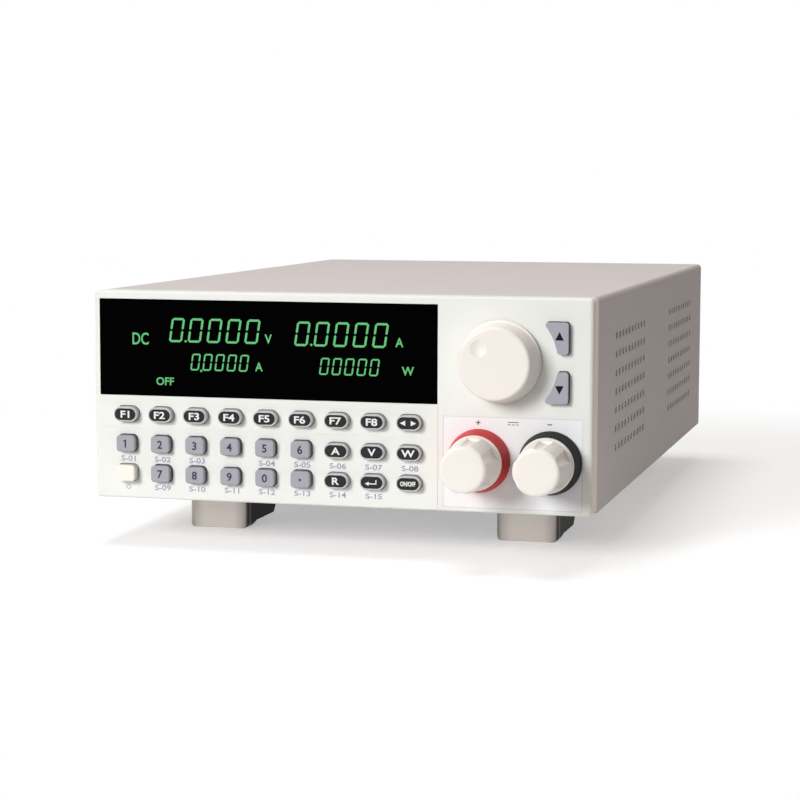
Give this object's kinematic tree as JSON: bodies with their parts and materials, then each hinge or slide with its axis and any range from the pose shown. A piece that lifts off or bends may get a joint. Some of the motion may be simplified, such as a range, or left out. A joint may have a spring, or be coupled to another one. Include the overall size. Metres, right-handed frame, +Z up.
{
  "type": "dc electronic load",
  "caption": "Half-rack bench DC electronic load: keypad and display front, rotary knob, scalloped screw terminals, vented steel case on feet, rear fan and mains inlet.",
  "frame": {"origin": "middle of the overall box, on the bench under the feet", "axes": "+Z up, +Y from the front panel to the rear panel, +X to the right as seen from the front"},
  "size_m": [0.214, 0.3844, 0.108],
  "materials": {
    "bezel_white": "fine moulded satin",
    "window_black": "polished dark acrylic",
    "display_tube": "dark glass tube",
    "board_green": "solder mask",
    "switch_grey": "moulded",
    "plain_metal": "nickel plated",
    "cover_paint": "light grey powder coat",
    "pan_steel": "light grey powder coat",
    "foot_black": "moulded",
    "foot_silver": "silver painted",
    "sink_aluminium": "extruded",
    "device_black": "moulded",
    "core_steel": "varnished",
    "fan_black": "moulded",
    "guard_chrome": "bright plated",
    "inlet_black": "moulded",
    "port_metal": "plated shells",
    "ring_red": "moulded",
    "ring_black": "moulded",
    "cap_white": "warm white satin",
    "key_grey": "blue grey silicone",
    "key_pale": "light grey silicone",
    "power_cream": "cream satin"
  },
  "bodies": {
    "chassis": {"front_bezel": "bezel_white", "display_window": "window_black", "display_module": "display_tube", "keypad_board": "board_green", "key_switches": "switch_grey", "rotary_encoder": "plain_metal", "power_switch": "switch_grey", "top_cover": "cover_paint", "base_pan": "pan_steel", "rear_panel": "cover_paint", "case_screws": "plain_metal", "foot_bodies": "foot_black", "foot_caps": "foot_silver", "heat_sink": "sink_aluminium", "power_transistors": "device_black", "main_board": "board_green", "transformer": "core_steel", "fan_frame": "fan_black", "fan_guard": "guard_chrome", "mains_inlet": "inlet_black", "rear_connectors": "port_metal", "positive_terminal_ring": "ring_red", "negative_terminal_ring": "ring_black", "terminal_studs": "plain_metal"},
    "knob": {"encoder_knob": "cap_white", "encoder_shaft": "plain_metal"},
    "fan_rotor": {"fan_rotor": "fan_black"},
    "key_f1": {"key_f1": "key_pale"},
    "key_f2": {"key_f2": "key_pale"},
    "key_f3": {"key_f3": "key_pale"},
    "key_f4": {"key_f4": "key_pale"},
    "key_f5": {"key_f5": "key_pale"},
    "key_f6": {"key_f6": "key_pale"},
    "key_f7": {"key_f7": "key_pale"},
    "key_f8": {"key_f8": "key_pale"},
    "key_left_right": {"key_left_right": "key_pale"},
    "key_1": {"key_1": "key_grey"},
    "key_2": {"key_2": "key_grey"},
    "key_3": {"key_3": "key_grey"},
    "key_4": {"key_4": "key_grey"},
    "key_5": {"key_5": "key_grey"},
    "key_6": {"key_6": "key_grey"},
    "key_mode_current": {"key_mode_current": "key_pale"},
    "key_mode_voltage": {"key_mode_voltage": "key_pale"},
    "key_mode_power": {"key_mode_power": "key_pale"},
    "power_button": {"power_button": "power_cream"},
    "key_7": {"key_7": "key_grey"},
    "key_8": {"key_8": "key_grey"},
    "key_9": {"key_9": "key_grey"},
    "key_0": {"key_0": "key_grey"},
    "key_point": {"key_point": "key_grey"},
    "key_mode_resistance": {"key_mode_resistance": "key_pale"},
    "key_enter": {"key_enter": "key_pale"},
    "key_output": {"key_output": "key_pale"},
    "up_key": {"up_key": "key_grey"},
    "down_key": {"down_key": "key_grey"},
    "positive_washer": {"positive_terminal_washer": "plain_metal"},
    "positive_cap": {"positive_terminal_cap": "cap_white"},
    "negative_washer": {"negative_terminal_washer": "plain_metal"},
    "negative_cap": {"negative_terminal_cap": "cap_white"}
  },
  "joints": [
    {"name": "key_f1_press", "type": "slide", "parent": "chassis", "child": "key_f1", "axis": [0, 1, 0], "range_m": [0, 0.0008], "stiffness_N_per_m": 600},
    {"name": "key_f2_press", "type": "slide", "parent": "chassis", "child": "key_f2", "axis": [0, 1, 0], "range_m": [0, 0.0008], "stiffness_N_per_m": 600},
    {"name": "key_f3_press", "type": "slide", "parent": "chassis", "child": "key_f3", "axis": [0, 1, 0], "range_m": [0, 0.0008], "stiffness_N_per_m": 600},
    {"name": "key_f4_press", "type": "slide", "parent": "chassis", "child": "key_f4", "axis": [0, 1, 0], "range_m": [0, 0.0008], "stiffness_N_per_m": 600},
    {"name": "key_f5_press", "type": "slide", "parent": "chassis", "child": "key_f5", "axis": [0, 1, 0], "range_m": [0, 0.0008], "stiffness_N_per_m": 600},
    {"name": "key_f6_press", "type": "slide", "parent": "chassis", "child": "key_f6", "axis": [0, 1, 0], "range_m": [0, 0.0008], "stiffness_N_per_m": 600},
    {"name": "key_f7_press", "type": "slide", "parent": "chassis", "child": "key_f7", "axis": [0, 1, 0], "range_m": [0, 0.0008], "stiffness_N_per_m": 600},
    {"name": "key_f8_press", "type": "slide", "parent": "chassis", "child": "key_f8", "axis": [0, 1, 0], "range_m": [0, 0.0008], "stiffness_N_per_m": 600},
    {"name": "key_left_right_press", "type": "slide", "parent": "chassis", "child": "key_left_right", "axis": [0, 1, 0], "range_m": [0, 0.0008], "stiffness_N_per_m": 600},
    {"name": "key_1_press", "type": "slide", "parent": "chassis", "child": "key_1", "axis": [0, 1, 0], "range_m": [0, 0.0008], "stiffness_N_per_m": 600},
    {"name": "key_2_press", "type": "slide", "parent": "chassis", "child": "key_2", "axis": [0, 1, 0], "range_m": [0, 0.0008], "stiffness_N_per_m": 600},
    {"name": "key_3_press", "type": "slide", "parent": "chassis", "child": "key_3", "axis": [0, 1, 0], "range_m": [0, 0.0008], "stiffness_N_per_m": 600},
    {"name": "key_4_press", "type": "slide", "parent": "chassis", "child": "key_4", "axis": [0, 1, 0], "range_m": [0, 0.0008], "stiffness_N_per_m": 600},
    {"name": "key_5_press", "type": "slide", "parent": "chassis", "child": "key_5", "axis": [0, 1, 0], "range_m": [0, 0.0008], "stiffness_N_per_m": 600},
    {"name": "key_6_press", "type": "slide", "parent": "chassis", "child": "key_6", "axis": [0, 1, 0], "range_m": [0, 0.0008], "stiffness_N_per_m": 600},
    {"name": "key_mode_current_press", "type": "slide", "parent": "chassis", "child": "key_mode_current", "axis": [0, 1, 0], "range_m": [0, 0.0008], "stiffness_N_per_m": 600},
    {"name": "key_mode_voltage_press", "type": "slide", "parent": "chassis", "child": "key_mode_voltage", "axis": [0, 1, 0], "range_m": [0, 0.0008], "stiffness_N_per_m": 600},
    {"name": "key_mode_power_press", "type": "slide", "parent": "chassis", "child": "key_mode_power", "axis": [0, 1, 0], "range_m": [0, 0.0008], "stiffness_N_per_m": 600},
    {"name": "power_button_press", "type": "slide", "parent": "chassis", "child": "power_button", "axis": [0, 1, 0], "range_m": [0, 0.0025], "stiffness_N_per_m": 400},
    {"name": "key_7_press", "type": "slide", "parent": "chassis", "child": "key_7", "axis": [0, 1, 0], "range_m": [0, 0.0008], "stiffness_N_per_m": 600},
    {"name": "key_8_press", "type": "slide", "parent": "chassis", "child": "key_8", "axis": [0, 1, 0], "range_m": [0, 0.0008], "stiffness_N_per_m": 600},
    {"name": "key_9_press", "type": "slide", "parent": "chassis", "child": "key_9", "axis": [0, 1, 0], "range_m": [0, 0.0008], "stiffness_N_per_m": 600},
    {"name": "key_0_press", "type": "slide", "parent": "chassis", "child": "key_0", "axis": [0, 1, 0], "range_m": [0, 0.0008], "stiffness_N_per_m": 600},
    {"name": "key_point_press", "type": "slide", "parent": "chassis", "child": "key_point", "axis": [0, 1, 0], "range_m": [0, 0.0008], "stiffness_N_per_m": 600},
    {"name": "key_mode_resistance_press", "type": "slide", "parent": "chassis", "child": "key_mode_resistance", "axis": [0, 1, 0], "range_m": [0, 0.0008], "stiffness_N_per_m": 600},
    {"name": "key_enter_press", "type": "slide", "parent": "chassis", "child": "key_enter", "axis": [0, 1, 0], "range_m": [0, 0.0008], "stiffness_N_per_m": 600},
    {"name": "key_output_press", "type": "slide", "parent": "chassis", "child": "key_output", "axis": [0, 1, 0], "range_m": [0, 0.0008], "stiffness_N_per_m": 600},
    {"name": "up_key_press", "type": "slide", "parent": "chassis", "child": "up_key", "axis": [0, 1, 0], "range_m": [0, 0.0008], "stiffness_N_per_m": 600},
    {"name": "down_key_press", "type": "slide", "parent": "chassis", "child": "down_key", "axis": [0, 1, 0], "range_m": [0, 0.0008], "stiffness_N_per_m": 600},
    {"name": "knob_turn", "type": "hinge", "parent": "chassis", "child": "knob", "pos_m": [0.0691, -0.16175, 0.08205], "axis": [0, 1, 0], "continuous": true},
    {"name": "fan_spin", "type": "hinge", "parent": "chassis", "child": "fan_rotor", "pos_m": [0.052, 0.17325, 0.0632], "axis": [0, 1, 0], "continuous": true},
    {"name": "positive_washer_slide", "type": "slide", "parent": "chassis", "child": "positive_washer", "axis": [0, -1, 0], "range_m": [0, 0.00625]},
    {"name": "positive_cap_turn", "type": "hinge", "parent": "positive_washer", "child": "positive_cap", "pos_m": [0.0603, -0.18175, 0.0414], "axis": [0, -1, 0], "range_deg": [0, 1801]},
    {"name": "negative_washer_slide", "type": "slide", "parent": "chassis", "child": "negative_washer", "axis": [0, -1, 0], "range_m": [0, 0.00625]},
    {"name": "negative_cap_turn", "type": "hinge", "parent": "negative_washer", "child": "negative_cap", "pos_m": [0.0898, -0.18175, 0.0414], "axis": [0, -1, 0], "range_deg": [0, 1801]}
  ],
  "couplings": [
    {"joint": "positive_cap_turn", "follows": "positive_washer_slide", "rad_per_m": 5026.5},
    {"joint": "negative_cap_turn", "follows": "negative_washer_slide", "rad_per_m": 5026.5}
  ]
}
